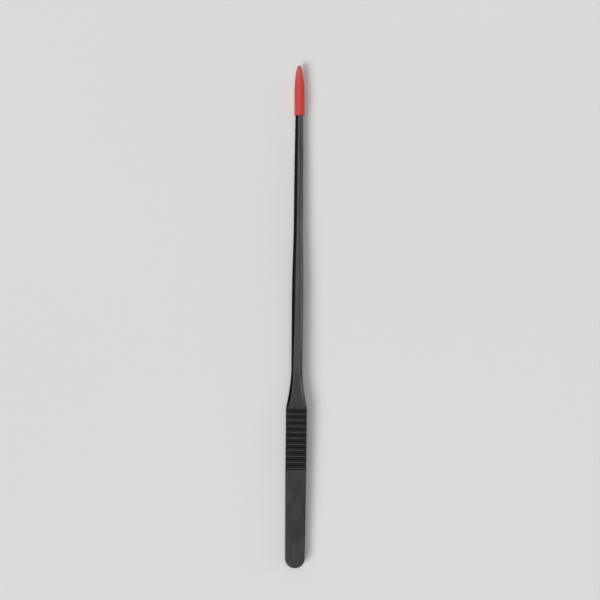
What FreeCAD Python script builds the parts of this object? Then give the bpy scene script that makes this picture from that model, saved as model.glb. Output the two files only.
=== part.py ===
import FreeCAD, Part
import Sketcher
import math
import os

# Long straight tweezers for planting an aquarium, lying closed with their soft tip cap on.
#
# Row frame: +Y runs from the welded tail to the tips, +X is the width and +Z is the way the arms
# open. The origin is under the middle of the overall box, on the surface that the tweezers lie on.
# Every place along the tweezers is a "station": its distance from the tail end in millimetres.
#
# Each arm is one stamping in steel: a flat welded tab at the tail, a ribbed grip, a shoulder and a
# slim shaft with sloping flanks. It flexes just in front of the tab, so it is split there: the tab
# with the start of the bow is the heel, and a knuckle joins it to the grip. The arm is highest at
# the neck, so it is parted there too, into a grip and a shaft that are both nearly straight.

# Driving dimensions in millimetres. Each key is an alias in the sheet.
DIMENSIONS = {
    "overall_length": 271.5,  # tail end to the closed end of the cap
    "half_height": 4.5,  # mid plane between the arms to the top of the bow
    # Tab and heel
    "tail_width": 10.6,
    "tab_length": 13.0,
    "sheet_thickness": 1.25,
    "seat_clearance": 0.05,
    "weld_diameter": 3.4,
    "weld_height": 1.3,
    "first_weld_station": 4.2,
    "weld_spacing": 4.8,
    # Ribbed grip
    "rib_pitch": 3.255,
    "rib_count": 10,
    "rib_crest": 0.6,
    "ridge_drop": 0.1,
    "fine_groove_depth": 0.25,
    "deep_groove_depth": 0.45,
    # Shoulder, where the grip narrows to the shaft
    "shoulder_bevel": 1.25,
    # Jaws
    "jaw_land": 0.35,  # height of the jaws' straight edges
    "jaw_flank_share": 0.97,  # keeps a narrow flat top on the jaws all the way to the tip
    "tooth_pitch": 0.8,
    "tooth_count": 16,
    "tooth_depth": 0.15,
    "last_tooth_station": 268.6,
    # Tip cap
    "cap_length": 27.0,
    "cap_half_width": 2.775,
    "cap_nose_length": 18.7,
    "cap_blunt_length": 3.5,
    "cap_nose_flat": 0.1,
    "cap_wall": 0.5,
    "cap_end_wall": 1.3,
    "cavity_mouth_half_height": 2.2,
    "cavity_end_half_height": 0.75,
    "cavity_end_half_width": 0.8,
}

# Sections of one arm: station, full width at the inner face, inner face above the mid plane,
# thickness, height of the straight edge above the inner face, and width of the sloping flank.
SECTIONS = {
    "flex": (33.0, 10.95, 0.75, 1.25, 0.95, 0.3),
    "grip_start": (54.05, 11.25, 1.45, 1.3, 1.0, 0.3),
    "grip_end": (86.6, 11.25, 2.2, 1.5, 1.15, 0.35),
    "neck": (107.0, 5.9, 2.5, 2.0, 0.95, 1.2),
    "belly": (143.0, 6.1, 2.2, 2.1, 0.8, 1.65),
    "shaft_waist": (182.0, 4.95, 1.15, 1.9, 0.75, 1.5),
    "shaft_end": (215.0, 4.75, 0.4, 1.65, 0.6, 1.5),
    "jaw_root": (244.5, 4.25, 0.05, 1.35, 0.45, 1.3),
    "tip": (270.0, 1.0, 0.02, 0.5, 0.3, 0.3),
}
SECTION_FIELDS = ("station", "width", "inner", "thickness", "land", "flank")

# Shares of the way along the shoulder and the jaws where a further section is worked out.
SHOULDER_SHARES = (0.25, 0.5, 0.75)
JAW_SHARES = (0.35, 0.6, 0.8, 0.93)
WELD_COUNT = 2
TRIM_ALLOWANCE = 1.0  # a heel's strip is this much wider than its finished width
SHOULDER_POWER = 1.6  # how quickly the shoulder narrows
JAW_POWER = 0.75  # how blunt the jaws are in plan

# Shares of the cap's length, from its closed end, where its shell has a section.
CAP_OUTER_SHARES = (0.0, 0.015, 0.04, 0.08, 0.13, 0.2, 0.3, 0.42, 0.55, 0.7, 1.0)
CAVITY_SHARES = (0.05, 0.15, 0.3, 0.5, 0.7, 1.0)
CAP_NOSE_POWER = 0.45  # how blunt the cap's nose is
CAVITY_POWER = 0.8  # how blunt the hollow's end is

doc = FreeCAD.newDocument("aquascaping_tweezers")
sheet = doc.addObject("Spreadsheet::Sheet", "Sheet")


def fill_sheet():
    """Write every driving dimension to the sheet, one row each, and name its cell."""
    named = dict(DIMENSIONS)
    for section, values in SECTIONS.items():
        for field, value in zip(SECTION_FIELDS, values):
            named[f"{section}_{field}"] = value
    for row, (alias, value) in enumerate(named.items(), start=1):
        sheet.set(f"A{row}", alias)
        sheet.set(f"B{row}", str(value))
        sheet.setAlias(f"B{row}", alias)
    doc.recompute()


def cell(alias):
    """The value that the sheet holds for an alias."""
    return float(sheet.get(alias))


def plane(body, role):
    """One of a body's own origin planes or axes, by its role."""
    return next(f for f in body.Origin.OriginFeatures if f.Role == role)


def new_body(label, turn=0.0):
    """A body whose mid plane lies half a height up, turned about +Y by turn degrees."""
    body = doc.addObject("PartDesign::Body", label)
    body.Label = label
    body.Placement = FreeCAD.Placement(
        FreeCAD.Vector(0, 0, cell("half_height")),
        FreeCAD.Rotation(FreeCAD.Vector(0, 1, 0), turn),
    )
    body.setExpression("Placement.Base.z", "Sheet.half_height")
    return body


def new_sketch(body, name, role):
    """A sketch on one of the body's origin planes."""
    sketch = body.newObject("Sketcher::SketchObject", name)
    sketch.AttachmentSupport = [(plane(body, role), "")]
    sketch.MapMode = "FlatFace"
    return sketch


def polygon(sketch, points):
    """Closed straight outline, each corner coincident with the next line. The points only start
    it near its shape: dimensions from the sheet then set it."""
    corners = [FreeCAD.Vector(x, y, 0) for x, y in points]
    lines = [
        sketch.addGeometry(Part.LineSegment(start, end), False)
        for start, end in zip(corners, corners[1:] + corners[:1])
    ]
    for line, following in zip(lines, lines[1:] + lines[:1]):
        sketch.addConstraint(Sketcher.Constraint("Coincident", line, 2, following, 1))
    return lines


def dimension(sketch, kind, place, value, name, expression):
    """A named dimension on the sketch, bound to the sheet."""
    index = sketch.addConstraint(Sketcher.Constraint(kind, *place, value))
    sketch.renameConstraint(index, name)
    sketch.setExpression(f"Constraints.{name}", expression)


def pin_corners(sketch, lines, expressions):
    """Bind both coordinates of each line's first point to the sheet."""
    for line, (across, up) in zip(lines, expressions):
        at = sketch.getPoint(line, 1)
        dimension(sketch, "DistanceX", (-1, 1, line, 1), at.x, f"across_{line}", across)
        dimension(sketch, "DistanceY", (-1, 1, line, 1), at.y, f"up_{line}", up)


def along(station):
    """Expression for the row frame's Y of a station."""
    return f"{station} - Sheet.overall_length / 2"


def between(first, second, field, share):
    """Expression for a field of a section part of the way from one section to another."""
    return f"Sheet.{first}_{field} + {share} * (Sheet.{second}_{field} - Sheet.{first}_{field})"


def section_fields(name):
    """Expressions for a section that the sheet holds."""
    return {field: f"Sheet.{name}_{field}" for field in SECTION_FIELDS}


def shoulder_fields(share):
    """Expressions for a section on the shoulder: the width falls fast, then eases into the neck."""
    fields = {f: between("grip_end", "neck", f, share) for f in SECTION_FIELDS}
    fields["width"] = (
        "Sheet.neck_width + (Sheet.grip_end_width - Sheet.neck_width)"
        f" * (1 - {share}) ^ {SHOULDER_POWER}"
    )
    fields["flank"] = "Sheet.shoulder_bevel"
    return fields


def jaw_fields(share):
    """Expressions for a section of the jaws, which taper to the tip as a blunt ogive."""
    fields = {f: between("jaw_root", "tip", f, share) for f in SECTION_FIELDS}
    fields["width"] = (
        "Sheet.tip_width + (Sheet.jaw_root_width - Sheet.tip_width)"
        f" * (1 - {share} ^ 2) ^ {JAW_POWER}"
    )
    root_share = "Sheet.jaw_root_flank / Sheet.jaw_root_width"
    fields["flank"] = f"Sheet.jaw_flank_share * {root_share} * ({fields['width']})"
    fields["land"] = "Sheet.jaw_land"
    return fields


def arm_section(body, name, fields):
    """Sketch of one cross-section: a flat back, short straight edges and sloping flanks."""
    sketch = new_sketch(body, name, "XZ_Plane")
    lines = polygon(sketch, [(-3, 1), (3, 1), (3, 2), (1, 3), (-1, 3), (-3, 2)])
    back, right_edge, _, top, left_flank, _ = lines
    for line in (back, top):
        sketch.addConstraint(Sketcher.Constraint("Symmetric", line, 1, line, 2, -2))
    sketch.addConstraint(Sketcher.Constraint("Symmetric", right_edge, 2, left_flank, 2, -2))
    sketch.addConstraint(Sketcher.Constraint("Vertical", right_edge))
    width, flank = fields["width"], fields["flank"]
    dimension(sketch, "DistanceX", (back, 1, back, 2), 6.0, "width", width)
    dimension(sketch, "DistanceX", (top, 2, top, 1), 2.0, "top_width", f"{width} - 2 * ({flank})")
    dimension(sketch, "DistanceY", (-1, 1, back, 2), 1.0, "inner", fields["inner"])
    dimension(sketch, "DistanceY", (right_edge, 1, right_edge, 2), 1.0, "land", fields["land"])
    dimension(sketch, "DistanceY", (back, 2, top, 1), 2.0, "thickness", fields["thickness"])
    # The XZ plane's normal is -Y.
    sketch.setExpression("AttachmentOffset.Base.z", f"-({along(fields['station'])})")
    return sketch


def finish_feature(body, feature, adds, base=None):
    """Make a feature the body's result, and stop if it didn't add or cut as it should."""
    base = base or feature.BaseFeature
    before = base.Shape.Volume if base else 0.0
    body.Tip = feature
    doc.recompute()
    after = feature.Shape.Volume
    if after == before or (after > before) != adds:
        raise RuntimeError(f"{body.Label}.{feature.Name} took {before:.3f} to {after:.3f} mm3")
    return feature


def loft(body, name, kind, sections):
    """Straight loft from each section to the next, added to or cut from what the body holds."""
    feature = body.newObject(f"PartDesign::{kind}", name)
    feature.Profile = sections[0]
    feature.Sections = sections[1:]
    feature.Ruled = True
    return finish_feature(body, feature, kind == "AdditiveLoft")


def pad_across(body, name, sketch, width):
    """Pad a side-view sketch by half the width to each side."""
    feature = body.newObject("PartDesign::Pad", name)
    feature.Profile = sketch
    feature.SideType = "Symmetric"
    feature.setExpression("Length", width)
    return finish_feature(body, feature, True)


def pocket_through(body, name, sketch):
    """Cut a sketch's outline through the whole body, to both sides."""
    feature = body.newObject("PartDesign::Pocket", name)
    feature.Profile = sketch
    feature.SideType = "Symmetric"
    feature.Type = "ThroughAll"
    return finish_feature(body, feature, False)


def repeat(body, name, feature, sketch, spacing, count):
    """Repeat a pocket along its sketch's horizontal axis."""
    pattern = body.newObject("PartDesign::LinearPattern", name)
    pattern.Originals = [feature]
    pattern.Direction = (sketch, ["H_Axis"])
    pattern.setExpression("Length", f"{spacing} * ({count} - 1)")
    pattern.setExpression("Occurrences", count)
    return finish_feature(body, pattern, False, base=feature)


def pivot_circle(body, name, radius):
    """Side-view circle about the axis that the arm flexes on, midway through the sheet."""
    sketch = new_sketch(body, name, "YZ_Plane")
    at = FreeCAD.Vector(-100, 1, 0)
    circle = sketch.addGeometry(Part.Circle(at, FreeCAD.Vector(0, 0, 1), 0.6), False)
    height = "Sheet.flex_inner + Sheet.flex_thickness / 2"
    station = along("Sheet.flex_station")
    dimension(sketch, "DistanceX", (-1, 1, circle, 3), at.x, "across", station)
    dimension(sketch, "DistanceY", (-1, 1, circle, 3), at.y, "up", height)
    dimension(sketch, "Radius", (circle,), 0.6, "radius", radius)
    return sketch


def cut_grip(body):
    """A row of ribs across the outer face. Between two flat crests lie a fine groove, a low
    ridge, a deep groove, a low ridge and a fine groove."""
    sketch = new_sketch(body, "rib_outline", "YZ_Plane")
    above = 1.0  # the outline reaches this far clear of the face
    pitch = "Sheet.rib_pitch"
    crest = "Sheet.rib_crest / 2"
    fine, deep, drop = "Sheet.fine_groove_depth", "Sheet.deep_groove_depth", "Sheet.ridge_drop"
    start = [(0.3, 0), (0.7, -0.3), (1.1, -0.1), (1.6, -0.5), (2.2, -0.1), (2.5, -0.3), (2.9, 0)]
    lines = polygon(sketch, start + [(2.9, above), (0.3, above)])
    wall = f"({crest} + {pitch} / 3) / 2"
    expressions = [
        (crest, "0"),
        (wall, f"-{fine}"),
        (f"{pitch} / 3", f"-{drop}"),
        (f"{pitch} / 2", f"-{deep}"),
        (f"{pitch} * 2 / 3", f"-{drop}"),
        (f"{pitch} - {wall}", f"-{fine}"),
        (f"{pitch} - {crest}", "0"),
        (f"{pitch} - {crest}", f"{above}"),
        (crest, f"{above}"),
    ]
    pin_corners(sketch, lines, expressions)
    # The ribs follow the outer face, which climbs from the start of the grip to its end.
    start_top = "Sheet.grip_start_inner + Sheet.grip_start_thickness"
    end_top = "Sheet.grip_end_inner + Sheet.grip_end_thickness"
    run = "Sheet.grip_end_station - Sheet.grip_start_station"
    sketch.setExpression("AttachmentOffset.Base.x", along("Sheet.grip_start_station"))
    sketch.setExpression("AttachmentOffset.Base.y", start_top)
    rise = f"({end_top}) - ({start_top})"
    sketch.setExpression("AttachmentOffset.Rotation.Angle", f"atan(({rise}) / ({run}))")
    first = pocket_through(body, "first_rib", sketch)
    repeat(body, "ribs", first, sketch, pitch, "Sheet.rib_count")


def cut_teeth(body):
    """Fine teeth across the inner face of the jaw."""
    sketch = new_sketch(body, "tooth_outline", "YZ_Plane")
    lines = polygon(sketch, [(-0.3, -0.5), (0.3, -0.5), (0.3, 0.1), (0, 0.2), (-0.3, 0.1)])
    below = "-0.5"  # the outline reaches this far clear of the face
    half = "Sheet.tooth_pitch / 4"
    face = "Sheet.tip_inner"
    expressions = [
        (f"-{half}", below),
        (half, below),
        (half, face),
        ("0", f"{face} + Sheet.tooth_depth"),
        (f"-{half}", face),
    ]
    pin_corners(sketch, lines, expressions)
    first_station = "Sheet.last_tooth_station - Sheet.tooth_pitch * (Sheet.tooth_count - 1)"
    sketch.setExpression("AttachmentOffset.Base.x", along(first_station))
    first = pocket_through(body, "first_tooth", sketch)
    repeat(body, "teeth", first, sketch, "Sheet.tooth_pitch", "Sheet.tooth_count")


def named_sections(body, *names):
    """Sketches of the sections that the sheet holds under these names."""
    return [arm_section(body, f"{name}_section", section_fields(name)) for name in names]


def worked_sections(body, name, fields_at, shares):
    """Sketches of the sections that are worked out at shares of the way along a taper."""
    return [
        arm_section(body, f"{name}_section_{i}", fields_at(share))
        for i, share in enumerate(shares, start=1)
    ]


def make_grip(label, turn):
    """One arm from where it flexes to its neck: the ribbed grip and the shoulder."""
    body = new_body(label, turn)
    grip = named_sections(body, "flex", "grip_start", "grip_end")
    shoulder = worked_sections(body, "shoulder", shoulder_fields, SHOULDER_SHARES)
    neck = named_sections(body, "neck")
    doc.recompute()
    loft(body, "grip", "AdditiveLoft", grip)
    loft(body, "shoulder", "AdditiveLoft", [grip[-1], *shoulder, *neck])
    knuckle = pivot_circle(body, "knuckle_outline", "Sheet.flex_thickness / 2")
    pad_across(body, "knuckle", knuckle, "Sheet.flex_width")
    cut_grip(body)
    return body


def make_shaft(label, turn):
    """One arm from its neck to its tip: the slim shaft and the toothed jaw."""
    body = new_body(label, turn)
    shaft = named_sections(body, "neck", "belly", "shaft_waist", "shaft_end", "jaw_root")
    jaw = worked_sections(body, "jaw", jaw_fields, JAW_SHARES)
    tip = named_sections(body, "tip")
    doc.recompute()
    loft(body, "shaft", "AdditiveLoft", shaft)
    loft(body, "jaw", "AdditiveLoft", [shaft[-1], *jaw, *tip])
    cut_teeth(body)
    return body


def heel_side(body):
    """Side view of a heel: a flat tab, then a straight rise to where the grip begins."""
    sketch = new_sketch(body, "side_outline", "YZ_Plane")
    start = [(-135, 0), (-122, 0), (-102, 1), (-102, 2), (-122, 1.5), (-135, 1.5)]
    lines = polygon(sketch, start)
    tail = along("0")
    bend = along("Sheet.tab_length")
    # The seat for the knuckle reaches just outside the sheet, so the heel stops short of the pivot.
    half = "Sheet.flex_thickness / 2"
    reach = f"sqrt((({half}) + Sheet.seat_clearance) ^ 2 - ({half}) ^ 2)"
    end = along(f"Sheet.flex_station - {reach}")
    expressions = [
        (tail, "0"),
        (bend, "0"),
        (end, "Sheet.flex_inner"),
        (end, "Sheet.flex_inner + Sheet.flex_thickness"),
        (bend, "Sheet.sheet_thickness"),
        (tail, "Sheet.sheet_thickness"),
    ]
    pin_corners(sketch, lines, expressions)
    return sketch


def heel_surround(body):
    """Plan view of what is trimmed off a heel: outside its round tail and its widening sides."""
    sketch = new_sketch(body, "trim_outline", "XY_Plane")
    tail_y = -cell("overall_length") / 2
    radius = cell("tail_width") / 2
    flex_y = cell("flex_station") + tail_y
    half_frame, margin = 15.0, 5.0  # anywhere well clear of the heel
    frame = [
        (-half_frame, tail_y - margin),
        (half_frame, tail_y - margin),
        (half_frame, flex_y + margin),
        (-half_frame, flex_y + margin),
    ]
    for line in polygon(sketch, frame):
        at = sketch.getPoint(line, 1)
        sketch.addConstraint(Sketcher.Constraint("DistanceX", -1, 1, line, 1, at.x))
        sketch.addConstraint(Sketcher.Constraint("DistanceY", -1, 1, line, 1, at.y))
    centre = FreeCAD.Vector(0, tail_y + radius, 0)
    round_tail = Part.Circle(centre, FreeCAD.Vector(0, 0, 1), radius)
    arc = sketch.addGeometry(Part.ArcOfCircle(round_tail, math.pi, 2 * math.pi), False)
    half_flex = cell("flex_width") / 2
    corners = [(radius, centre.y), (half_flex, flex_y), (-half_flex, flex_y), (-radius, centre.y)]
    corners = [FreeCAD.Vector(x, y, 0) for x, y in corners]
    right, across, left = [
        sketch.addGeometry(Part.LineSegment(start, end), False)
        for start, end in zip(corners, corners[1:])
    ]
    for first, second in ((arc, right), (right, across), (across, left), (left, arc)):
        sketch.addConstraint(Sketcher.Constraint("Coincident", first, 2, second, 1))
    sketch.addConstraint(Sketcher.Constraint("Symmetric", arc, 1, arc, 2, -2))
    sketch.addConstraint(Sketcher.Constraint("Symmetric", across, 1, across, 2, -2))
    middle = along("Sheet.tail_width / 2")
    for point, name in ((1, "tail_sides"), (3, "tail_centre")):
        dimension(sketch, "DistanceY", (-1, 1, arc, point), centre.y, name, middle)
    dimension(sketch, "Radius", (arc,), radius, "tail_radius", "Sheet.tail_width / 2")
    flex = along("Sheet.flex_station")
    dimension(sketch, "DistanceY", (-1, 1, across, 1), flex_y, "flex_line", flex)
    wide = "Sheet.flex_width"
    dimension(sketch, "DistanceX", (across, 2, across, 1), 2 * half_flex, "flex_width", wide)
    return sketch


def weld_circles(body):
    """Plan view of the spot welds, in a row on the tab."""
    sketch = new_sketch(body, "weld_outline", "XY_Plane")
    for index in range(WELD_COUNT):
        at = FreeCAD.Vector(0, -130 + 5 * index, 0)
        circle = sketch.addGeometry(Part.Circle(at, FreeCAD.Vector(0, 0, 1), 1.5), False)
        sketch.addConstraint(Sketcher.Constraint("PointOnObject", circle, 3, -2))
        station = along(f"Sheet.first_weld_station + {index} * Sheet.weld_spacing")
        dimension(sketch, "DistanceY", (-1, 1, circle, 3), at.y, f"place_{index}", station)
        dimension(sketch, "Diameter", (circle,), 3.0, f"size_{index}", "Sheet.weld_diameter")
    return sketch


def make_heel(label, turn):
    """The tail end of one arm: welded tab and the start of the bow, up to where it flexes."""
    body = new_body(label, turn)
    side = heel_side(body)
    surround = heel_surround(body)
    doc.recompute()
    pad_across(body, "strip", side, f"Sheet.flex_width + {TRIM_ALLOWANCE}")
    pocket_through(body, "trim", surround)
    seat_radius = "Sheet.flex_thickness / 2 + Sheet.seat_clearance"
    seat = pivot_circle(body, "seat_outline", seat_radius)
    pocket_through(body, "knuckle_seat", seat)
    nests = body.newObject("PartDesign::Pocket", "weld_nests")
    nests.Profile = weld_circles(body)
    nests.Reversed = True
    nests.setExpression("Length", "Sheet.weld_height / 2")
    finish_feature(body, nests, False)
    return body


def make_welds(label):
    """The spot welds that fuse the two tabs: round nuggets, half in each tab."""
    nuggets = []
    for index in range(WELD_COUNT):
        nugget = doc.addObject("Part::Cylinder", f"weld_nugget_{index + 1}")
        nugget.setExpression("Radius", "Sheet.weld_diameter / 2")
        nugget.setExpression("Height", "Sheet.weld_height")
        station = f"Sheet.first_weld_station + {index} * Sheet.weld_spacing"
        nugget.setExpression("Placement.Base.y", along(station))
        nugget.setExpression("Placement.Base.z", "-Sheet.weld_height / 2")
        nuggets.append(nugget)
    welds = doc.addObject("Part::Compound", label)
    welds.Label = label
    welds.Links = nuggets
    welds.setExpression("Placement.Base.z", "Sheet.half_height")
    doc.recompute()
    return welds


def cavity_share(share):
    """Expression for how far a section lies from the hollow's closed end, 0 to 1 at the mouth."""
    run = "(Sheet.cap_length - Sheet.cap_end_wall)"
    return f"({share} * Sheet.cap_length - Sheet.cap_end_wall) / {run}"


def cavity_height(share):
    """Expression for half the hollow's height: it widens evenly, so the arms can spring apart
    while the cap comes off."""
    rise = "(Sheet.cavity_mouth_half_height - Sheet.cavity_end_half_height)"
    return f"Sheet.cavity_end_half_height + {rise} * {cavity_share(share)}"


def cap_outer(share):
    """Expressions for half the width and height of the cap's outside."""
    length = f"({share} * Sheet.cap_length + Sheet.cap_nose_flat)"
    nose = f"(1 - (1 - min({length} / Sheet.cap_nose_length; 1)) ^ 2) ^ {CAP_NOSE_POWER}"
    blunt = f"(1 - (1 - min({length} / Sheet.cap_blunt_length; 1)) ^ 2) ^ {CAP_NOSE_POWER}"
    return (
        f"Sheet.cap_half_width * {nose}",
        f"({cavity_height(share)} + Sheet.cap_wall) * {blunt}",
    )


def cap_cavity(share):
    """Expressions for half the width and height of the cap's hollow."""
    end = "Sheet.cavity_end_half_width"
    from_end = f"({share} * Sheet.cap_length - Sheet.cap_end_wall)"
    run = "(Sheet.cap_nose_length - Sheet.cap_end_wall)"
    ogive = f"(1 - (1 - min({from_end} / {run}; 1)) ^ 2) ^ {CAVITY_POWER}"
    return (
        f"{end} + (Sheet.cap_half_width - Sheet.cap_wall - {end}) * {ogive}",
        cavity_height(share),
    )


def cap_ellipse(body, name, station, half_sizes):
    """Sketch of one oval section of the cap or of its hollow, wider than it is high."""
    sketch = new_sketch(body, name, "XZ_Plane")
    wide, tall = 2.0, 1.0
    oval = Part.Ellipse(
        FreeCAD.Vector(wide, 0, 0), FreeCAD.Vector(0, tall, 0), FreeCAD.Vector(0, 0, 0)
    )
    ellipse = sketch.addGeometry(oval, False)
    sketch.exposeInternalGeometry(ellipse)
    major, minor = ellipse + 1, ellipse + 2
    sketch.addConstraint(Sketcher.Constraint("Coincident", ellipse, 3, -1, 1))
    sketch.addConstraint(Sketcher.Constraint("Horizontal", major))
    half_width, half_height = half_sizes
    for line, kind, label, half_size in (
        (major, "DistanceX", "width", half_width),
        (minor, "DistanceY", "height", half_height),
    ):
        start, end = sketch.getPoint(line, 1), sketch.getPoint(line, 2)
        low, high = (1, 2) if (start.x, start.y) < (end.x, end.y) else (2, 1)
        span = start.distanceToPoint(end)
        dimension(sketch, kind, (line, low, line, high), span, label, f"2 * ({half_size})")
    sketch.setExpression("AttachmentOffset.Base.z", f"-({along(station)})")
    return sketch


def cap_sections(body, name, half_sizes_at, shares):
    """Sketches of the cap's sections at shares of its length from its closed end."""
    return [
        cap_ellipse(
            body,
            f"{name}_section_{i}",
            f"Sheet.overall_length - {share} * Sheet.cap_length",
            half_sizes_at(share),
        )
        for i, share in enumerate(shares)
    ]


def make_cap(label):
    """The soft cap over the tips: a blunt oval sleeve, closed at its far end."""
    body = new_body(label)
    outer = cap_sections(body, "outer", cap_outer, CAP_OUTER_SHARES)
    hollow = cap_sections(body, "hollow", cap_cavity, CAVITY_SHARES)
    doc.recompute()
    loft(body, "sleeve", "AdditiveLoft", outer)
    loft(body, "hollow", "SubtractiveLoft", hollow)
    return body


def check_document():
    """Stop if any object failed to recompute."""
    for item in doc.Objects:
        if "Invalid" in item.State or "Error" in item.State:
            raise RuntimeError(f"{item.Name} failed: {item.State}")


def write_parts(parts):
    """Write each sub-part to its own STEP file, named by its Label."""
    os.makedirs("parts", exist_ok=True)
    for part in parts:
        shape = part.Shape
        if shape.isNull() or not shape.isValid():
            raise RuntimeError(f"{part.Label} has no valid shape")
        box = shape.optimalBoundingBox(False)
        print(
            part.Label,
            f"{shape.Volume:.1f} mm3, {len(shape.Solids)} solids,"
            f" X {box.XMin:.3f} {box.XMax:.3f} Y {box.YMin:.3f} {box.YMax:.3f}"
            f" Z {box.ZMin:.3f} {box.ZMax:.3f}",
        )
        shape.exportStep(f"parts/{part.Label}.step")


fill_sheet()
sub_parts = [
    make_heel("front_heel", 0),
    make_heel("rear_heel", 180),
    make_welds("heel_welds"),
    make_grip("front_grip", 0),
    make_grip("rear_grip", 180),
    make_shaft("front_shaft", 0),
    make_shaft("rear_shaft", 180),
    make_cap("tip_cap"),
]
doc.recompute()
check_document()
write_parts(sub_parts)
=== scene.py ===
import math

import bmesh
import bpy
import numpy as np
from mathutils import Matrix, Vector


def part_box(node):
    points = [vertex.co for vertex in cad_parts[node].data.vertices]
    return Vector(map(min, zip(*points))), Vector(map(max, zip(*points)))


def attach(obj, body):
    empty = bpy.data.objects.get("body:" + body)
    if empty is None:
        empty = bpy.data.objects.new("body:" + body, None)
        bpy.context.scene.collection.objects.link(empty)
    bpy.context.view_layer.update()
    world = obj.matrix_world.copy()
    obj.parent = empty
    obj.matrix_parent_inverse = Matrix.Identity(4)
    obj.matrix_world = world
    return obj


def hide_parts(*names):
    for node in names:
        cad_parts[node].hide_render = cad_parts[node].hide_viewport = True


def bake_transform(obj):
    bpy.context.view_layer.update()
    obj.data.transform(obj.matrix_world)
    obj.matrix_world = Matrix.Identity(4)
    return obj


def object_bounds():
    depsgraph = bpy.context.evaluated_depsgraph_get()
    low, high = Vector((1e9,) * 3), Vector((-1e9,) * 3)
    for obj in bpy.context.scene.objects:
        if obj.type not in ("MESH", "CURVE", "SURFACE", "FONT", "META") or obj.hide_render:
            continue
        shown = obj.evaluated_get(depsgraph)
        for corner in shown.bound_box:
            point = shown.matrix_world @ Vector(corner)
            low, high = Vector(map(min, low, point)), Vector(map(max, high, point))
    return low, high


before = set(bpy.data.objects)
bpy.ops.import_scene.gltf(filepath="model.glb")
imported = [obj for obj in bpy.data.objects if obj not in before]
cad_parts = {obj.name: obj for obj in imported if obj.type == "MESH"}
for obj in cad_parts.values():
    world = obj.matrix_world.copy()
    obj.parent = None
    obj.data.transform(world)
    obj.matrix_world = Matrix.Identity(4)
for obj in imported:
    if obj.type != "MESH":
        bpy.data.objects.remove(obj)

# Long aquascaping tweezers, lying closed on a pale floor with a soft red cap over the tips.
#
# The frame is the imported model's: +Y from the welded tail to the tips, +Z the way the arms open.
# Along the tweezers, a "station" is the distance from the tail end. Sizes and places are in
# millimetres unless a comment says otherwise, and MM turns them into metres.

MM = 0.001
CAD_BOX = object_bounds()

# What the visible pieces take from the frame. TAIL_Y and MID_Z stay in metres.
TAIL_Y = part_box("front_heel")[0].y
MID_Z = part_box("front_heel")[0].z  # the plane midway between the arms
HALF_HEIGHT = (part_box("front_shaft")[1].z - MID_Z) / MM  # from there to the top of the bow
NECK = (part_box("front_shaft")[0].y - TAIL_Y) / MM
TIP = (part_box("front_shaft")[1].y - TAIL_Y) / MM
NOSE = (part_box("tip_cap")[1].y - TAIL_Y) / MM
CAP_MOUTH = (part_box("tip_cap")[0].y - TAIL_Y) / MM
GRIP_WIDTH = (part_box("front_grip")[1].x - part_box("front_grip")[0].x) / MM
CAP_HALF_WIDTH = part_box("tip_cap")[1].x / MM

# One arm's section at each named station: the station, the height of its inner face above the
# middle plane, its thickness, the height of its side edge, and the width of its sloping flank.
SECTIONS = {
    "tail": (0.0, 0.015, 1.25, 1.0, 0.25),
    "bend": (13.0, 0.02, 1.25, 1.0, 0.25),
    "flex": (33.0, 0.75, 1.25, 1.0, 0.25),
    "grip_start": (54.05, 1.45, 1.3, 1.05, 0.25),
    "grip_end": (86.6, 2.2, 1.5, 1.2, 0.3),
    "corner": (87.3, 2.22, 1.53, 0.6, 1.4),
    "shoulder": (91.5, 2.28, 1.63, 0.5, 1.75),
    "shoulder_foot": (100.0, 2.42, 1.86, 0.62, 1.5),
    "neck": (NECK, 2.5, 2.0, 0.85, 1.25),
    "belly": (143.0, 2.2, 2.1, 0.8, 1.8),
    "waist": (182.0, 1.15, 1.9, 0.75, 1.65),
    "shaft_end": (215.0, 0.4, 1.65, 0.6, 1.65),
    "jaw": (CAP_MOUTH, 0.05, 1.35, 0.45, 1.45),
    "tip": (TIP, 0.02, 0.5, 0.3, 0.3),
}
STATIONS = {name: section[0] for name, section in SECTIONS.items()}
EDGE_MOST = 0.8  # the side edge takes at most this share of the thickness
FLANK_MOST = 0.6  # a flank's mesh columns take at most this share of half the width
CREASE_SOFTNESS = 0.14  # the share of the flank over which its crease is rounded
EDGE_BREAK = 0.07  # the small chamfer where a face meets the side edge
EDGE_BREAK_ACROSS = 0.4  # that chamfer takes at most this share of half the width
EDGE_BREAK_UP = 1 / 3  # and at most this share of the edge's height
CROWN = 0.05  # how much the outer face falls from its middle to its sides

# Plan outline
TAIL_RADIUS = 5.3
FLEX_WIDTH = 10.95
SHOULDER_POWER = 1.6
SHAFT_HALF_WIDTHS = (
    (NECK, 2.95),
    (STATIONS["belly"], 3.05),
    (155.0, 3.0),
    (169.6, 2.72),
    (STATIONS["waist"], 2.48),
    (STATIONS["shaft_end"], 2.38),
    (CAP_MOUTH, 2.125),
)
JAW_POWER = 0.75
TIP_WIDTH = 1.0
TIP_ROUND = 0.45
TIP_FLAT = 0.04  # the share of the tip's width that its very end keeps
TIP_THINNING = 0.35  # the share of the thickness lost round the tip

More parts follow.
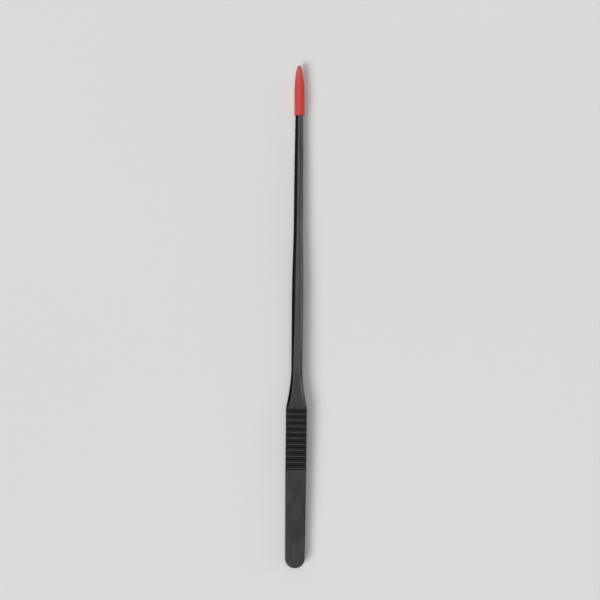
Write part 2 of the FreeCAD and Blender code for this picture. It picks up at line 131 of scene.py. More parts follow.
# Ribs on the grip. One pitch goes from crest to crest through a fine groove, the deep groove and
# another fine groove, with a low crest on each side of the deep one. Each row is a place in the
# pitch and the depth there.
RIB_PITCH = 3.255
RIB_COUNT = 10
FINE_GROOVE = 0.25
DEEP_GROOVE = 0.48
LOW_CREST = 0.06
RIB_PROFILE = (
    (0.0, 0.0),
    (0.26, 0.0),
    (0.4, FINE_GROOVE),
    (0.6, FINE_GROOVE),
    (0.78, LOW_CREST),
    (1.24, LOW_CREST),
    (1.4, DEEP_GROOVE),
    (1.855, DEEP_GROOVE),
    (2.015, LOW_CREST),
    (2.475, LOW_CREST),
    (2.655, FINE_GROOVE),
    (2.855, FINE_GROOVE),
    (2.995, 0.0),
    (RIB_PITCH, 0.0),
)
LAST_GROOVE = 0.55  # a further fine groove lies this far behind the first crest
LAST_GROOVE_HALF = 0.28
LAST_GROOVE_STEEPNESS = 1.6  # 1 would make it a plain V, and more leaves it a flat floor

# Teeth inside the jaws
TOOTH_PITCH = 0.8
TOOTH_DEPTH = 0.15
TOOTH_FIRST = 256.4
TOOTH_LAST = 268.8

# Where the arm's mesh has rings: how far apart, or how many
TAIL_START_TURN = 0.05  # radians round from the tail's end to its first ring
TAIL_RINGS = 26
TAB_SPACING = 1.4
LAST_GROOVE_SPACING = 0.07
RIB_SPACING = 0.12
CORNER_SPACING = 0.25
SHOULDER_SPACING = 0.6
SHAFT_SPACING = 1.8
JAW_SPACING = 0.8
RINGS_PER_TOOTH = 8
TIP_SPACING = 0.2
TIP_RINGS = 10

# Columns of one half of the outer face: shares of the flank's width in from the side edge.
FLANK_COLUMNS = (0.0, 0.06, 0.3, 0.6, 0.8, 0.87, 0.93, 1.0, 1.07, 1.14, 1.3)
FACE_COLUMNS = 6  # further columns from there to the middle of the face
INNER_COLUMNS = 6  # columns over half of the inner face
OUTER_RISE = 0.5  # a point this far above the inner face is on the outer side
SHARP_TURN = math.radians(28.0)

# Paler steel, as a mark from 0 to 1 on the arm's mesh: rubbed along the creases, sides and crests,
# with a painted highlight along the creases near the neck and on the crests
WEAR_AND_HIGHLIGHT_RISE = 0.93  # the share up the flank where its crease is palest, rubbed and with a painted highlight
WEAR_AND_HIGHLIGHT_SPREAD = 0.08
WEAR_AND_HIGHLIGHT_FADE = 0.35  # how far onto the face the crease's paling and painted highlight fade out, in flank widths
HIGHLIGHT_PLACE = 108.0  # the creases are palest round here, where a painted highlight lies along them
HIGHLIGHT_LENGTH = 16.0
WORN_LEAST = 0.25
SIDE_WEAR = 0.2
# the grip's flat crests are paler: partly rubbed, partly a painted highlight
CREST_WEAR_AND_HIGHLIGHT = 0.33
BEVEL_SOFT = 0.15  # the share of the flank, below the crease, over which its smoother finish starts

# The cap: a soft moulded sleeve, closed at the nose. "Back" is the distance from the nose.
CAP_LENGTH = NOSE - CAP_MOUTH
CAP_WALL = 0.5
CAP_END_WALL = 1.3
CAP_NOSE_LENGTH = 18.7
CAP_NOSE_POWER = 0.42
CAP_BLUNT_LENGTH = 3.5
CAVITY_MOUTH_HEIGHT = 2.2
CAVITY_END_HEIGHT = 0.75
CAVITY_END_WIDTH = 0.8
CAVITY_POWER = 0.8
CAP_LEAN = 0.35  # how far the nose leans to the left
CAVITY_LEAN = 0.15
LEAN_POWER = 1.5
# The cap's softness of outline: its share of the cap's size, how many swellings go round the cap,
# how far they turn in a millimetre along it, and how fast they come and go (both in radians).
CAP_WAVER = 0.012
WAVER_LOBES = 3
WAVER_TWIST = 0.23
WAVER_PULSE = 0.31
CAP_POINTS = 72
CAP_NOSE_RINGS = 14
CAP_RIM_RINGS = 9
CAP_OUTSIDE_SPACING = 0.6
CAP_INSIDE_SPACING = 1.0

# Material detail. Arms and cap measure their noise by cells in a millimetre, the welds and the
# floor by cells in a metre, and three figures are across, along and through.
STEEL_BRUSHING = (9.0, 0.22, 9.0)
STEEL_FINE_BRUSHING = (26.0, 1.1, 26.0)
STEEL_CLOUDS = (0.35, 0.09, 0.35)
VINYL_MOTTLING = 0.5
VINYL_GRAIN = 7.0
VINYL_STREAKS = (2.2, 0.25, 2.2)
WELD_TINTING = 900.0
WELD_PITS = 5200.0
FLOOR_CLOUDS = 3.0
# How deep each relief is, in metres
STEEL_RELIEF = 0.00002
VINYL_RELIEF = 0.00006
WELD_RELIEF = 0.00008
# Ranges: of a noise, where most of it lies and its inner part, and what it is turned into
NOISE_MOST = (0.3, 0.7)
NOISE_INNER = (0.35, 0.65)
NOISE_LOWER = (0.3, 0.6)
WHOLE = (0.0, 1.0)
STEEL_ROUGHNESS = (0.28, 0.4)
VINYL_ROUGHNESS = (0.34, 0.5)
WELD_ROUGHNESS = (0.42, 0.7)
WEAR_AND_HIGHLIGHT_SHOWN = (0.1, 0.6)
NOSE_PALING_UNEVENNESS = (0.75, 1.25)
BEVEL_POLISH = 0.14  # how much less rough the pressed flanks are than the brushed face
GROOVE_SHADE_DEPTH = 0.16  # a groove this deep is fully darkened by painted shade
NOSE_PALING_LENGTH = 9.0  # how far from its nose the cap turns paler
NOSE_PALING_MOST = 0.4

# Linear colours
STEEL_DARK = (0.0395, 0.0395, 0.041, 1.0)
STEEL_LIGHT = (0.071, 0.0715, 0.0725, 1.0)
# paler steel: rubbed, and a painted highlight along the creases near the neck and on the crests
STEEL_WORN_AND_HIGHLIGHT = (0.26, 0.255, 0.25, 1.0)
# painted shade in the grip's grooves
STEEL_GROOVE_SHADE = (0.006, 0.006, 0.0065, 1.0)
WELD_BLUE = (0.12, 0.13, 0.18, 1.0)
WELD_STRAW = (0.34, 0.27, 0.17, 1.0)
VINYL_DEEP = (0.64, 0.058, 0.051, 1.0)
VINYL_LIGHT = (0.70, 0.074, 0.065, 1.0)
VINYL_PALE_NOSE = (0.62, 0.24, 0.23, 1.0)
FLOOR_DARK = (0.80, 0.80, 0.80, 1.0)
FLOOR_LIGHT = (0.84, 0.84, 0.84, 1.0)
WHITE = (1.0, 1.0, 1.0, 1.0)

# Floor and camera, in metres
FLOOR_SIZE = 60.0
FLOOR_GAP = 0.0002
SENSOR = 36.0  # in millimetres
CAMERA_HEIGHT = 1.2
VIEW_WIDTH = 0.3254
CAMERA_ACROSS = 0.00136
CAMERA_ALONG = 0.00908
CAMERA_ROLL = math.radians(0.59)

# Soft lights: name, the direction it comes from, degrees across, strength and colour
LIGHTS = (
    ("key", (-0.72, -0.62, 1.0), 34.0, 1.9, (1.0, 0.99, 0.98)),
    ("overhead", (0.02, 0.22, 1.0), 30.0, 0.5, (1.0, 1.0, 1.0)),
    ("low_right", (1.15, 0.12, 0.36), 26.0, 0.27, (0.98, 0.98, 1.0)),
)

# The room that the steel reflects: dim low on the left, bright above, and shaded at the far
# right. The ranges are of the direction's X. The backdrop is what the camera sees of it.
ROOM_EDGE = (-0.88, -0.55)
ROOM_LIGHT = (0.02, 0.36)
ROOM_SHADE_EDGE = (0.3, 0.9)
ROOM_SHADE = (1.0, 0.55)
BACKDROP = 0.72


def smooth_curve(places, values):
    """A curve through the points that never overshoots them (monotone cubic)."""
    places, values = np.array(places, float), np.array(values, float)
    step = np.diff(places)
    slope = np.diff(values) / step
    tangent = np.zeros(len(places))
    for i in range(1, len(places) - 1):
        if slope[i - 1] * slope[i] > 0:
            before, after = 2 * step[i] + step[i - 1], step[i] + 2 * step[i - 1]
            tangent[i] = (before + after) / (before / slope[i - 1] + after / slope[i])
    tangent[0], tangent[-1] = slope[0], slope[-1]

    def curve(at):
        at = np.clip(at, places[0], places[-1])
        i = np.clip(np.searchsorted(places, at, side="right") - 1, 0, len(step) - 1)
        t = (at - places[i]) / step[i]
        start, end = values[i], values[i + 1]
        lean, land = tangent[i] * step[i], tangent[i + 1] * step[i]
        return (
            start * (1 + 2 * t) * (1 - t) ** 2
            + lean * t * (1 - t) ** 2
            + end * t * t * (3 - 2 * t)
            + land * t * t * (t - 1)
        )

    return curve


places, *section_columns = zip(*SECTIONS.values())
inner_face, thickness, edge_height, flank_width = (
    smooth_curve(places, column) for column in section_columns
)
shaft_half_width = smooth_curve(*zip(*SHAFT_HALF_WIDTHS))
RIB_PLACES, RIB_DEPTHS = zip(*RIB_PROFILE)


def round_share(station):
    """How far a station is round the tip: 0 where the rounding starts, 1 at the end."""
    return max(station - (TIP - TIP_ROUND), 0.0) / TIP_ROUND


def half_width(station):
    """Half the arm's width in plan."""
    half_grip = GRIP_WIDTH / 2
    if station < TAIL_RADIUS:
        return math.sqrt(max(TAIL_RADIUS**2 - (TAIL_RADIUS - station) ** 2, 0.0))
    if station < STATIONS["flex"]:
        share = (station - TAIL_RADIUS) / (STATIONS["flex"] - TAIL_RADIUS)
        return TAIL_RADIUS + share * (FLEX_WIDTH / 2 - TAIL_RADIUS)
    if station < STATIONS["grip_start"]:
        share = (station - STATIONS["flex"]) / (STATIONS["grip_start"] - STATIONS["flex"])
        return FLEX_WIDTH / 2 + share * (half_grip - FLEX_WIDTH / 2)
    if station < STATIONS["grip_end"]:
        return half_grip
    neck_half = float(shaft_half_width(NECK))
    if station < NECK:
        share = (station - STATIONS["grip_end"]) / (NECK - STATIONS["grip_end"])
        return neck_half + (half_grip - neck_half) * (1 - share) ** SHOULDER_POWER
    if station < CAP_MOUTH:
        return float(shaft_half_width(station))
    share = (station - CAP_MOUTH) / (TIP - CAP_MOUTH)
    mouth_half = float(shaft_half_width(CAP_MOUTH))
    half = TIP_WIDTH / 2 + (mouth_half - TIP_WIDTH / 2) * (1 - share**2) ** JAW_POWER
    return half * math.sqrt(max(1 - round_share(station) ** 2, TIP_FLAT**2))


def edge_distance(across, station):
    """How far inside the plan outline a point lies."""
    if station < TAIL_RADIUS:
        return TAIL_RADIUS - math.hypot(across, TAIL_RADIUS - station)
    return half_width(station) - abs(across)


def flank_share(distance, width):
    """0 at the side edge, 1 on the outer face, with a softened crease between them."""
    share = distance / width
    near = max(CREASE_SOFTNESS - abs(share - 1), 0.0) / CREASE_SOFTNESS
    return max(min(share, 1.0) - near * near * CREASE_SOFTNESS / 4, 0.0)


def rib_depth(station):
    """Depth of the grip's grooves at a station."""
    start = STATIONS["grip_start"]
    behind = abs(station - (start - LAST_GROOVE))
    if behind < LAST_GROOVE_HALF:
        return FINE_GROOVE * min(1.0, LAST_GROOVE_STEEPNESS * (1 - behind / LAST_GROOVE_HALF))
    if not start < station < start + RIB_PITCH * RIB_COUNT:
        return 0.0
    return float(np.interp((station - start) % RIB_PITCH, RIB_PLACES, RIB_DEPTHS))


def on_crest(station):
    """Whether a station is on one of the flat crests between the grip's ribs."""
    first = STATIONS["grip_start"]
    return first <= station <= first + RIB_PITCH * RIB_COUNT and rib_depth(station) == 0.0


def tooth_depth(station):
    """Depth of the teeth inside the jaw at a station."""
    if not TOOTH_FIRST < station < TOOTH_LAST:
        return 0.0
    return TOOTH_DEPTH * (1 - abs((station - TOOTH_FIRST) / TOOTH_PITCH % 1 * 2 - 1))


def crease_wear_and_highlight(station, rise, beyond):
    """How pale the arm is at a point that lies rise up the flank, or beyond it on the face: rubbed
    along the crease, with a painted highlight round the neck.
    """
    here = WORN_LEAST + (1 - WORN_LEAST) * math.exp(-(((station - HIGHLIGHT_PLACE) / HIGHLIGHT_LENGTH) ** 2))
    return here * math.exp(-(((rise - WEAR_AND_HIGHLIGHT_RISE) / WEAR_AND_HIGHLIGHT_SPREAD) ** 2) - (beyond / WEAR_AND_HIGHLIGHT_FADE) ** 2)


def spaced(start, end, step):
    """Stations from start up to but not including end, about step apart."""
    return list(np.linspace(start, end, max(int(round((end - start) / step)), 1) + 1)[:-1])


def arm_stations():
    """Stations where the arm's mesh has a ring, closest where the shape changes fastest."""
    start = STATIONS["grip_start"]
    grooved = start - LAST_GROOVE - LAST_GROOVE_HALF
    turns = np.linspace(TAIL_START_TURN, math.pi / 2, TAIL_RINGS)
    stations = [TAIL_RADIUS * (1 - math.cos(turn)) for turn in turns[:-1]]
    stations += spaced(TAIL_RADIUS, grooved, TAB_SPACING)
    stations += spaced(grooved, start, LAST_GROOVE_SPACING)
    for rib in range(RIB_COUNT):
        crest = start + rib * RIB_PITCH
        for here, there in zip(RIB_PLACES, RIB_PLACES[1:]):
            stations += spaced(crest + here, crest + there, RIB_SPACING)
    stations += spaced(start + RIB_COUNT * RIB_PITCH, STATIONS["shoulder"], CORNER_SPACING)
    stations += spaced(STATIONS["shoulder"], NECK, SHOULDER_SPACING)
    stations += spaced(NECK, CAP_MOUTH, SHAFT_SPACING)
    stations += spaced(CAP_MOUTH, TOOTH_FIRST, JAW_SPACING)
    stations += spaced(TOOTH_FIRST, TOOTH_LAST, TOOTH_PITCH / RINGS_PER_TOOTH)
    stations += spaced(TOOTH_LAST, TIP - TIP_ROUND, TIP_SPACING)
    rounding = np.linspace(0, math.pi / 2, TIP_RINGS)
    stations += [TIP - TIP_ROUND * (1 - math.sin(turn)) for turn in rounding]
    return stations


def arm_ring(station):
    """One ring of the arm, anticlockwise seen from the tail: across, height, paleness (partly
    rubbed, partly a painted highlight) and bevel for each point."""
    half = half_width(station)
    base = float(inner_face(station))
    thick = float(thickness(station)) * (1 - TIP_THINNING * round_share(station) ** 2)
    thick = min(thick, HALF_HEIGHT - base)
    edge = min(float(edge_height(station)), EDGE_MOST * thick)
    flank = float(flank_width(station))
    drawn_flank = min(flank, FLANK_MOST * half)
    inset = [drawn_flank * share for share in FLANK_COLUMNS]
    inset += list(np.linspace(inset[-1], half, FACE_COLUMNS + 1)[1:])
    outer = []
    for distance in inset:
        across = half - distance
        rise = flank_share(edge_distance(across, station), flank)
        crown = CROWN * (across / half) ** 2 * min(half / TAIL_RADIUS, 1.0)
        height = min(edge + (thick - edge - crown) * rise, thick - rib_depth(station))
        # the crease's paleness: partly rubbed, partly a painted highlight near the neck; the crests
        # likewise
        worn_and_highlit = crease_wear_and_highlight(station, rise, max(distance / drawn_flank - 1.0, 0.0))
        if on_crest(station):
            worn_and_highlit = max(worn_and_highlit, CREST_WEAR_AND_HIGHLIGHT)
        outer.append((across, base + height, worn_and_highlit, min((1 - rise) / BEVEL_SOFT, 1.0)))
    edge_top = outer[0][1]
    broken = min(EDGE_BREAK, EDGE_BREAK_ACROSS * half)
    broken_up = min(EDGE_BREAK, EDGE_BREAK_UP * edge)
    corners = [(half, base + broken_up), (half, edge_top - broken_up), (half - broken, edge_top)]
    right = [(across, height, SIDE_WEAR, 1.0) for across, height in corners] + outer[1:]
    left = [(-across, *rest) for across, *rest in reversed(right[:-1])]
    inner = np.linspace(broken - half, half - broken, 2 * INNER_COLUMNS + 1)
    tooth = tooth_depth(station)
    return right + left + [(float(across), base + tooth, 0.0, 0.0) for across in inner]


def mesh_object(name, vertices, faces, marks):
    """A smooth-shaded mesh object. Marks are named lists with a value for each vertex."""
    mesh = bpy.data.meshes.new(name)
    mesh.from_pydata(vertices, [], faces)
    for mark, values in marks.items():
        attribute = mesh.attributes.new(mark, "FLOAT", "POINT")
        attribute.data.foreach_set("value", values)
    place = mesh.attributes.new("place", "FLOAT_VECTOR", "POINT")
    place.data.foreach_set("vector", [number / MM for point in vertices for number in point])
    mesh.validate()
    mesh.shade_smooth()
    made = bpy.data.objects.new(name, mesh)
    bpy.context.scene.collection.objects.link(made)
    return made


def ring_faces(rings, count, closed_start, closed_end):
    """Quads between rings of count points, with a flat face over each closed end."""
    faces = []
    for i in range(rings - 1):
        for j in range(count):
            k = (j + 1) % count
            faces.append((i * count + j, i * count + k, (i + 1) * count + k, (i + 1) * count + j))
    if closed_start:
        faces.append(tuple(reversed(range(count))))
    if closed_end:
        faces.append(tuple((rings - 1) * count + j for j in range(count)))
    return faces


def sharpen(made):
    """Marks edges that turn sharply, so that flat faces stay flat beside them."""
    edges = bmesh.new()
    edges.from_mesh(made.data)
    bmesh.ops.recalc_face_normals(edges, faces=edges.faces)
    for edge in edges.edges:
        if len(edge.link_faces) == 2 and edge.calc_face_angle(0.0) > SHARP_TURN:
            edge.smooth = False
    edges.to_mesh(made.data)
    edges.free()


def make_arm(name, turned):
    """One whole arm, tail to tip, as one closed mesh. The rear arm is the front one turned over."""
    stations = arm_stations()
    rings = [arm_ring(station) for station in stations]
    side = -1 if turned else 1
    vertices, wear_and_highlight, bevel, groove = [], [], [], []
    for station, ring in zip(stations, rings):
        outer_side = inner_face(station) + OUTER_RISE
        for across, height, worn_and_highlit, bevelled in ring:
            place = (side * across * MM, TAIL_Y + station * MM, MID_Z + side * height * MM)
            vertices.append(place)
            wear_and_highlight.append(worn_and_highlit)
            bevel.append(bevelled)
            # the rib depth on the outer side, which the steel turns into painted shade in the
            # grooves
            groove.append(rib_depth(station) if height > outer_side else 0.0)
    faces = ring_faces(len(rings), len(rings[0]), True, True)
    arm = mesh_object(name, vertices, faces, {"wear_and_highlight": wear_and_highlight, "bevel": bevel, "groove": groove})
    sharpen(arm)
    return arm


def swell(share, power):
    """0 to 1 along a blunt nose's outline."""
    return (1 - (1 - min(max(share, 0.0), 1.0)) ** 2) ** power


def cavity_half_height(back):
    """Half the height of the cap's cavity, which tapers evenly from the mouth to its end."""
    share = (back - CAP_END_WALL) / (CAP_LENGTH - CAP_END_WALL)
    return CAVITY_END_HEIGHT + (CAVITY_MOUTH_HEIGHT - CAVITY_END_HEIGHT) * share


def cap_outer(back):
    """Half width and half height of the cap's outside."""
    half_height = cavity_half_height(back) + CAP_WALL
    return (
        CAP_HALF_WIDTH * swell(back / CAP_NOSE_LENGTH, CAP_NOSE_POWER),
        half_height * swell(back / CAP_BLUNT_LENGTH, CAP_NOSE_POWER),
    )


def cap_inner(back):
    """Half width and half height of the cap's inside."""
    share = (back - CAP_END_WALL) / (CAP_NOSE_LENGTH - CAP_END_WALL)
    widening = CAP_HALF_WIDTH - CAP_WALL - CAVITY_END_WIDTH
    return CAVITY_END_WIDTH + widening * swell(share, CAVITY_POWER), cavity_half_height(back)


def cap_ring(back, ring_half_width, ring_half_height, lean, waver):
    """One ring of the cap, as points."""
    away = max(1 - back / CAP_LENGTH, 0.0)
    pulse = math.cos(WAVER_PULSE * back)
    ring = []
    for i in range(CAP_POINTS):
        turn = 2 * math.pi * i / CAP_POINTS
        lobe = math.sin(WAVER_LOBES * turn + WAVER_TWIST * back)
        soft = 1 - waver * (0.5 + 0.5 * lobe * pulse)
        across = ring_half_width * soft * math.cos(turn) - lean * away**LEAN_POWER
        height = ring_half_height * soft * math.sin(turn)
        ring.append((across * MM, TAIL_Y + (NOSE - back) * MM, MID_Z + height * MM))
    return ring


def make_cap():
    """The cap: outside from nose to mouth, round the rim, and back up the inside."""
    rings = []
    turns = np.linspace(0, math.pi / 2, CAP_NOSE_RINGS)[1:]
    near_nose = [CAP_BLUNT_LENGTH * (1 - math.cos(turn)) for turn in turns]
    rim = CAP_WALL / 2
    rim_start = CAP_LENGTH - rim
    for back in near_nose[:-1] + spaced(CAP_BLUNT_LENGTH, rim_start, CAP_OUTSIDE_SPACING):
        rings.append(cap_ring(back, *cap_outer(back), CAP_LEAN, CAP_WAVER))
    outside, inside = cap_outer(rim_start), cap_inner(rim_start)
    for turn in np.linspace(0, math.pi, CAP_RIM_RINGS):
        share = (1 - math.cos(turn)) / 2
        size = [outer + (inner - outer) * share for outer, inner in zip(outside, inside)]
        rings.append(cap_ring(rim_start + rim * math.sin(turn), *size, 0.0, CAP_WAVER))
    for back in reversed(spaced(CAP_END_WALL, rim_start, CAP_INSIDE_SPACING)):
        rings.append(cap_ring(back, *cap_inner(back), CAVITY_LEAN, 0.0))
    vertices = [point for ring in rings for point in ring]
    faces = ring_faces(len(rings), CAP_POINTS, False, True)
    nose = len(vertices)
    vertices.append((-CAP_LEAN * MM, TAIL_Y + NOSE * MM, MID_Z))
    faces += [(nose, (i + 1) % CAP_POINTS, i) for i in range(CAP_POINTS)]
    cap = mesh_object("soft_tip_cap", vertices, faces, {})
    sharpen(cap)
    return cap


def material(name, **sockets):
    """A material with its main shader's sockets set, and its node tree for more."""
    made = bpy.data.materials.new(name)
    made.use_nodes = True
    shader = made.node_tree.nodes["Principled BSDF"]
    for socket, value in sockets.items():
        shader.inputs[socket.replace("_", " ")].default_value = value
    return made, made.node_tree, shader


def marked(tree, name):
    """One of the mesh's own marks, by its attribute's name."""
    node = tree.nodes.new("ShaderNodeAttribute")
    node.attribute_name = name
    return node.outputs["Fac"]


def place_on(tree):
    """The point's place on the object at rest, which the mesh keeps as it moves."""
    node = tree.nodes.new("ShaderNodeAttribute")
    node.attribute_name = "place"
    return node.outputs["Vector"]


def stretched(tree, source, scale):
    """The source coordinates scaled apart along X, Y and Z."""
    node = tree.nodes.new("ShaderNodeMapping")
    node.inputs["Scale"].default_value = scale
    tree.links.new(source, node.inputs["Vector"])
    return node.outputs["Vector"]


def noise(tree, source, scale=1.0, detail=4.0):
    """A noise over the source coordinates, with scale cells to a unit."""
    node = tree.nodes.new("ShaderNodeTexNoise")
    node.inputs["Scale"].default_value = scale
    node.inputs["Detail"].default_value = detail
    tree.links.new(source, node.inputs["Vector"])
    return node.outputs["Fac"]


def remap(tree, source, given, wanted):
    """The source taken from the given range to the wanted one, and held there beyond."""
    node = tree.nodes.new("ShaderNodeMapRange")
    for socket, value in zip(("From Min", "From Max", "To Min", "To Max"), (*given, *wanted)):
        node.inputs[socket].default_value = value
    tree.links.new(source, node.inputs["Value"])
    return node.outputs["Result"]


def combine(tree, operation, first, second):
    """A Math node over two sockets, or a socket and a number."""
    node = tree.nodes.new("ShaderNodeMath")
    node.operation = operation
    for socket, value in zip(node.inputs, (first, second)):
        if isinstance(value, (int, float)):
            socket.default_value = value
        else:
            tree.links.new(value, socket)
    return node.outputs["Value"]


def shared(tree, first, share, second):
    """That share of the first socket, and the rest from the second."""
    parts = (
        combine(tree, "MULTIPLY", first, share),
        combine(tree, "MULTIPLY", second, 1 - share),
    )
    return combine(tree, "ADD", *parts)


def mixed(tree, factor, under, over):
    """One colour laid over another by a 0 to 1 factor. The lower may be a socket."""
    node = tree.nodes.new("ShaderNodeMix")
    node.data_type = "RGBA"
    lower, upper = [socket for socket in node.inputs if socket.type == "RGBA"]
    if isinstance(under, tuple):
        lower.default_value = under
    else:
        tree.links.new(under, lower)
    upper.default_value = over
    tree.links.new(factor, node.inputs["Factor"])
    return next(socket for socket in node.outputs if socket.type == "RGBA")


def bump(tree, shader, height, depth):
    """Relief from a height socket, depth metres deep."""
    node = tree.nodes.new("ShaderNodeBump")
    node.inputs["Strength"].default_value = 1.0
    node.inputs["Distance"].default_value = depth
    tree.links.new(height, node.inputs["Height"])
    tree.links.new(node.outputs["Normal"], shader.inputs["Normal"])


def black_steel():
    """Satin steel blackened by carburising: fine lengthwise brushing, paler creases and crests that
    are partly rubbed and partly a painted highlight, and painted shade in the grip's grooves.
    """
    made, tree, shader = material("black_carbonised_steel", Metallic=0.88)
    place = place_on(tree)
    brushed = noise(tree, stretched(tree, place, STEEL_BRUSHING))
    fine = noise(tree, stretched(tree, place, STEEL_FINE_BRUSHING))
    cloudy = noise(tree, stretched(tree, place, STEEL_CLOUDS), detail=2.0)
    tone = shared(tree, brushed, 0.5, cloudy)
    colour = mixed(tree, remap(tree, tone, NOISE_MOST, WHOLE), STEEL_DARK, STEEL_LIGHT)
    # paler where rubbed, and a painted highlight along the creases near the neck and on the crests
    unevenness = remap(tree, fine, NOISE_INNER, WEAR_AND_HIGHLIGHT_SHOWN)
    worn_and_highlit = combine(tree, "MULTIPLY", marked(tree, "wear_and_highlight"), unevenness)
    # painted shade in the grip's grooves, darkest where they are deepest
    deep = remap(tree, marked(tree, "groove"), (0.0, GROOVE_SHADE_DEPTH), WHOLE)
    final = mixed(tree, deep, mixed(tree, worn_and_highlit, colour, STEEL_WORN_AND_HIGHLIGHT), STEEL_GROOVE_SHADE)
    tree.links.new(final, shader.inputs["Base Color"])
    rough = remap(tree, brushed, NOISE_MOST, STEEL_ROUGHNESS)
    smoother = combine(tree, "MULTIPLY", marked(tree, "bevel"), BEVEL_POLISH)
    tree.links.new(combine(tree, "SUBTRACT", rough, smoother), shader.inputs["Roughness"])
    bump(tree, shader, shared(tree, brushed, 0.6, fine), STEEL_RELIEF)
    return made


def weld_steel():
    """The weld spots between the tails: heat-tinted, rough and slightly pitted."""
    made, tree, shader = material("weld_spot_steel", Metallic=1.0)
    place = tree.nodes.new("ShaderNodeTexCoord").outputs["Object"]
    tint = remap(tree, noise(tree, place, WELD_TINTING), NOISE_INNER, WHOLE)
    pits = noise(tree, place, WELD_PITS, detail=6.0)
    tree.links.new(mixed(tree, tint, WELD_BLUE, WELD_STRAW), shader.inputs["Base Color"])
    tree.links.new(remap(tree, pits, NOISE_MOST, WELD_ROUGHNESS), shader.inputs["Roughness"])
    bump(tree, shader, pits, WELD_RELIEF)
    return made


def red_vinyl():
    """Soft translucent red vinyl with faint mottling, paler towards the nose."""
    made, tree, shader = material(
        "red_soft_vinyl",
        Subsurface_Weight=0.1,
        Subsurface_Scale=0.0006,
        Subsurface_Radius=(1.0, 0.25, 0.2),
        Specular_IOR_Level=0.3,
        Sheen_Weight=0.05,
        Sheen_Roughness=0.5,
    )
    place = place_on(tree)
    mottled = noise(tree, place, VINYL_MOTTLING, detail=3.0)
    grain = noise(tree, place, VINYL_GRAIN, detail=5.0)
    streaks = noise(tree, stretched(tree, place, VINYL_STREAKS), detail=3.0)
    tone = remap(tree, shared(tree, mottled, 0.6, streaks), NOISE_INNER, WHOLE)
    body = mixed(tree, tone, VINYL_DEEP, VINYL_LIGHT)
    along = tree.nodes.new("ShaderNodeSeparateXYZ")
    tree.links.new(place, along.inputs["Vector"])
    nose = TAIL_Y / MM + NOSE
    # paler towards the nose, unevenly
    nose_paling = remap(tree, along.outputs["Y"], (nose - NOSE_PALING_LENGTH, nose), (0.0, NOSE_PALING_MOST))
    unevenness = remap(tree, grain, NOISE_LOWER, NOSE_PALING_UNEVENNESS)
    nose_paling = combine(tree, "MULTIPLY", nose_paling, unevenness)
    tree.links.new(mixed(tree, nose_paling, body, VINYL_PALE_NOSE), shader.inputs["Base Color"])
    tree.links.new(remap(tree, grain, NOISE_MOST, VINYL_ROUGHNESS), shader.inputs["Roughness"])
    bump(tree, shader, shared(tree, streaks, 0.7, grain), VINYL_RELIEF)
    return made


def pale_floor():
    """A plain pale floor, with the faintest clouding."""
    made, tree, shader = material("pale_floor", Roughness=0.75, Specular_IOR_Level=0.15)
    place = tree.nodes.new("ShaderNodeTexCoord").outputs["Object"]
    clouds = noise(tree, place, FLOOR_CLOUDS, detail=2.0)
    tree.links.new(mixed(tree, clouds, FLOOR_DARK, FLOOR_LIGHT), shader.inputs["Base Color"])
    return made


def soft_light(name, source, across, strength, colour):
    """A soft light of even strength over the whole floor, from the direction of source."""
    light = bpy.data.lights.new(name, "SUN")
    light.angle = math.radians(across)
    light.energy = strength
    light.color = colour
    made = bpy.data.objects.new(name, light)
    made.rotation_euler = (-Vector(source)).to_track_quat("-Z", "Y").to_euler()
    bpy.context.scene.collection.objects.link(made)


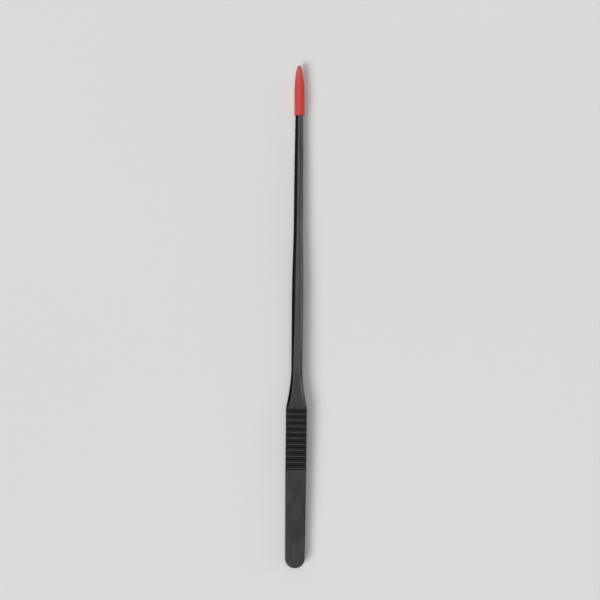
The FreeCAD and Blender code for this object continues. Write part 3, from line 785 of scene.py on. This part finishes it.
def make_room():
    """The world: a dim side and a bright side for reflections, and a plain backdrop behind."""
    world = bpy.data.worlds.new("studio")
    world.use_nodes = True
    tree = world.node_tree
    seen = tree.nodes["Background"]
    seen.inputs["Strength"].default_value = BACKDROP
    seen.inputs["Color"].default_value = WHITE
    lit = tree.nodes.new("ShaderNodeBackground")
    split = tree.nodes.new("ShaderNodeSeparateXYZ")
    direction = tree.nodes.new("ShaderNodeTexCoord").outputs["Generated"]
    tree.links.new(direction, split.inputs["Vector"])
    room = remap(tree, split.outputs["X"], ROOM_EDGE, ROOM_LIGHT)
    shaded = remap(tree, split.outputs["X"], ROOM_SHADE_EDGE, ROOM_SHADE)
    tree.links.new(combine(tree, "MULTIPLY", room, shaded), lit.inputs["Strength"])
    mix = tree.nodes.new("ShaderNodeMixShader")
    camera_ray = tree.nodes.new("ShaderNodeLightPath").outputs["Is Camera Ray"]
    tree.links.new(camera_ray, mix.inputs["Fac"])
    tree.links.new(lit.outputs["Background"], mix.inputs[1])
    tree.links.new(seen.outputs["Background"], mix.inputs[2])
    tree.links.new(mix.outputs["Shader"], tree.nodes["World Output"].inputs["Surface"])
    bpy.context.scene.world = world


def place_camera():
    """The camera, straight above the tweezers."""
    lens = bpy.data.cameras.new("camera")
    lens.sensor_width = SENSOR
    lens.lens = SENSOR * CAMERA_HEIGHT / VIEW_WIDTH
    camera = bpy.data.objects.new("camera", lens)
    camera.location = (CAMERA_ACROSS, CAMERA_ALONG, CAMERA_HEIGHT)
    camera.rotation_euler = (0.0, 0.0, CAMERA_ROLL)
    bpy.context.scene.collection.objects.link(camera)
    bpy.context.scene.camera = camera


# The arms, each one mesh from the welded tail to the tip, in place of the CAD pieces, which are
# hidden
front_arm = make_arm("front_arm_steel", turned=False)
rear_arm = make_arm("rear_arm_steel", turned=True)
steel = black_steel()
for arm, body, nodes in (
    (front_arm, "front_arm", ("front_heel", "front_grip", "front_shaft")),
    (rear_arm, "rear_arm", ("rear_heel", "rear_grip", "rear_shaft")),
):
    arm.data.materials.append(steel)
    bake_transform(arm)
    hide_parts(*nodes)

# The cap
cap = make_cap()
cap.data.materials.append(red_vinyl())
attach(cap, "tip_cap")
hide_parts("tip_cap")

# The welds keep their CAD shape.
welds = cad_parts["heel_welds"]
welds.data.materials.clear()
welds.data.materials.append(weld_steel())

# Floor, lights and camera
bpy.ops.mesh.primitive_plane_add(size=FLOOR_SIZE, location=(0.0, 0.0, CAD_BOX[0][2] - FLOOR_GAP))
floor = bpy.context.object
floor.name = "floor"
floor.data.materials.append(pale_floor())
for light in LIGHTS:
    soft_light(*light)
make_room()
bpy.context.scene.view_settings.view_transform = "Standard"
place_camera()
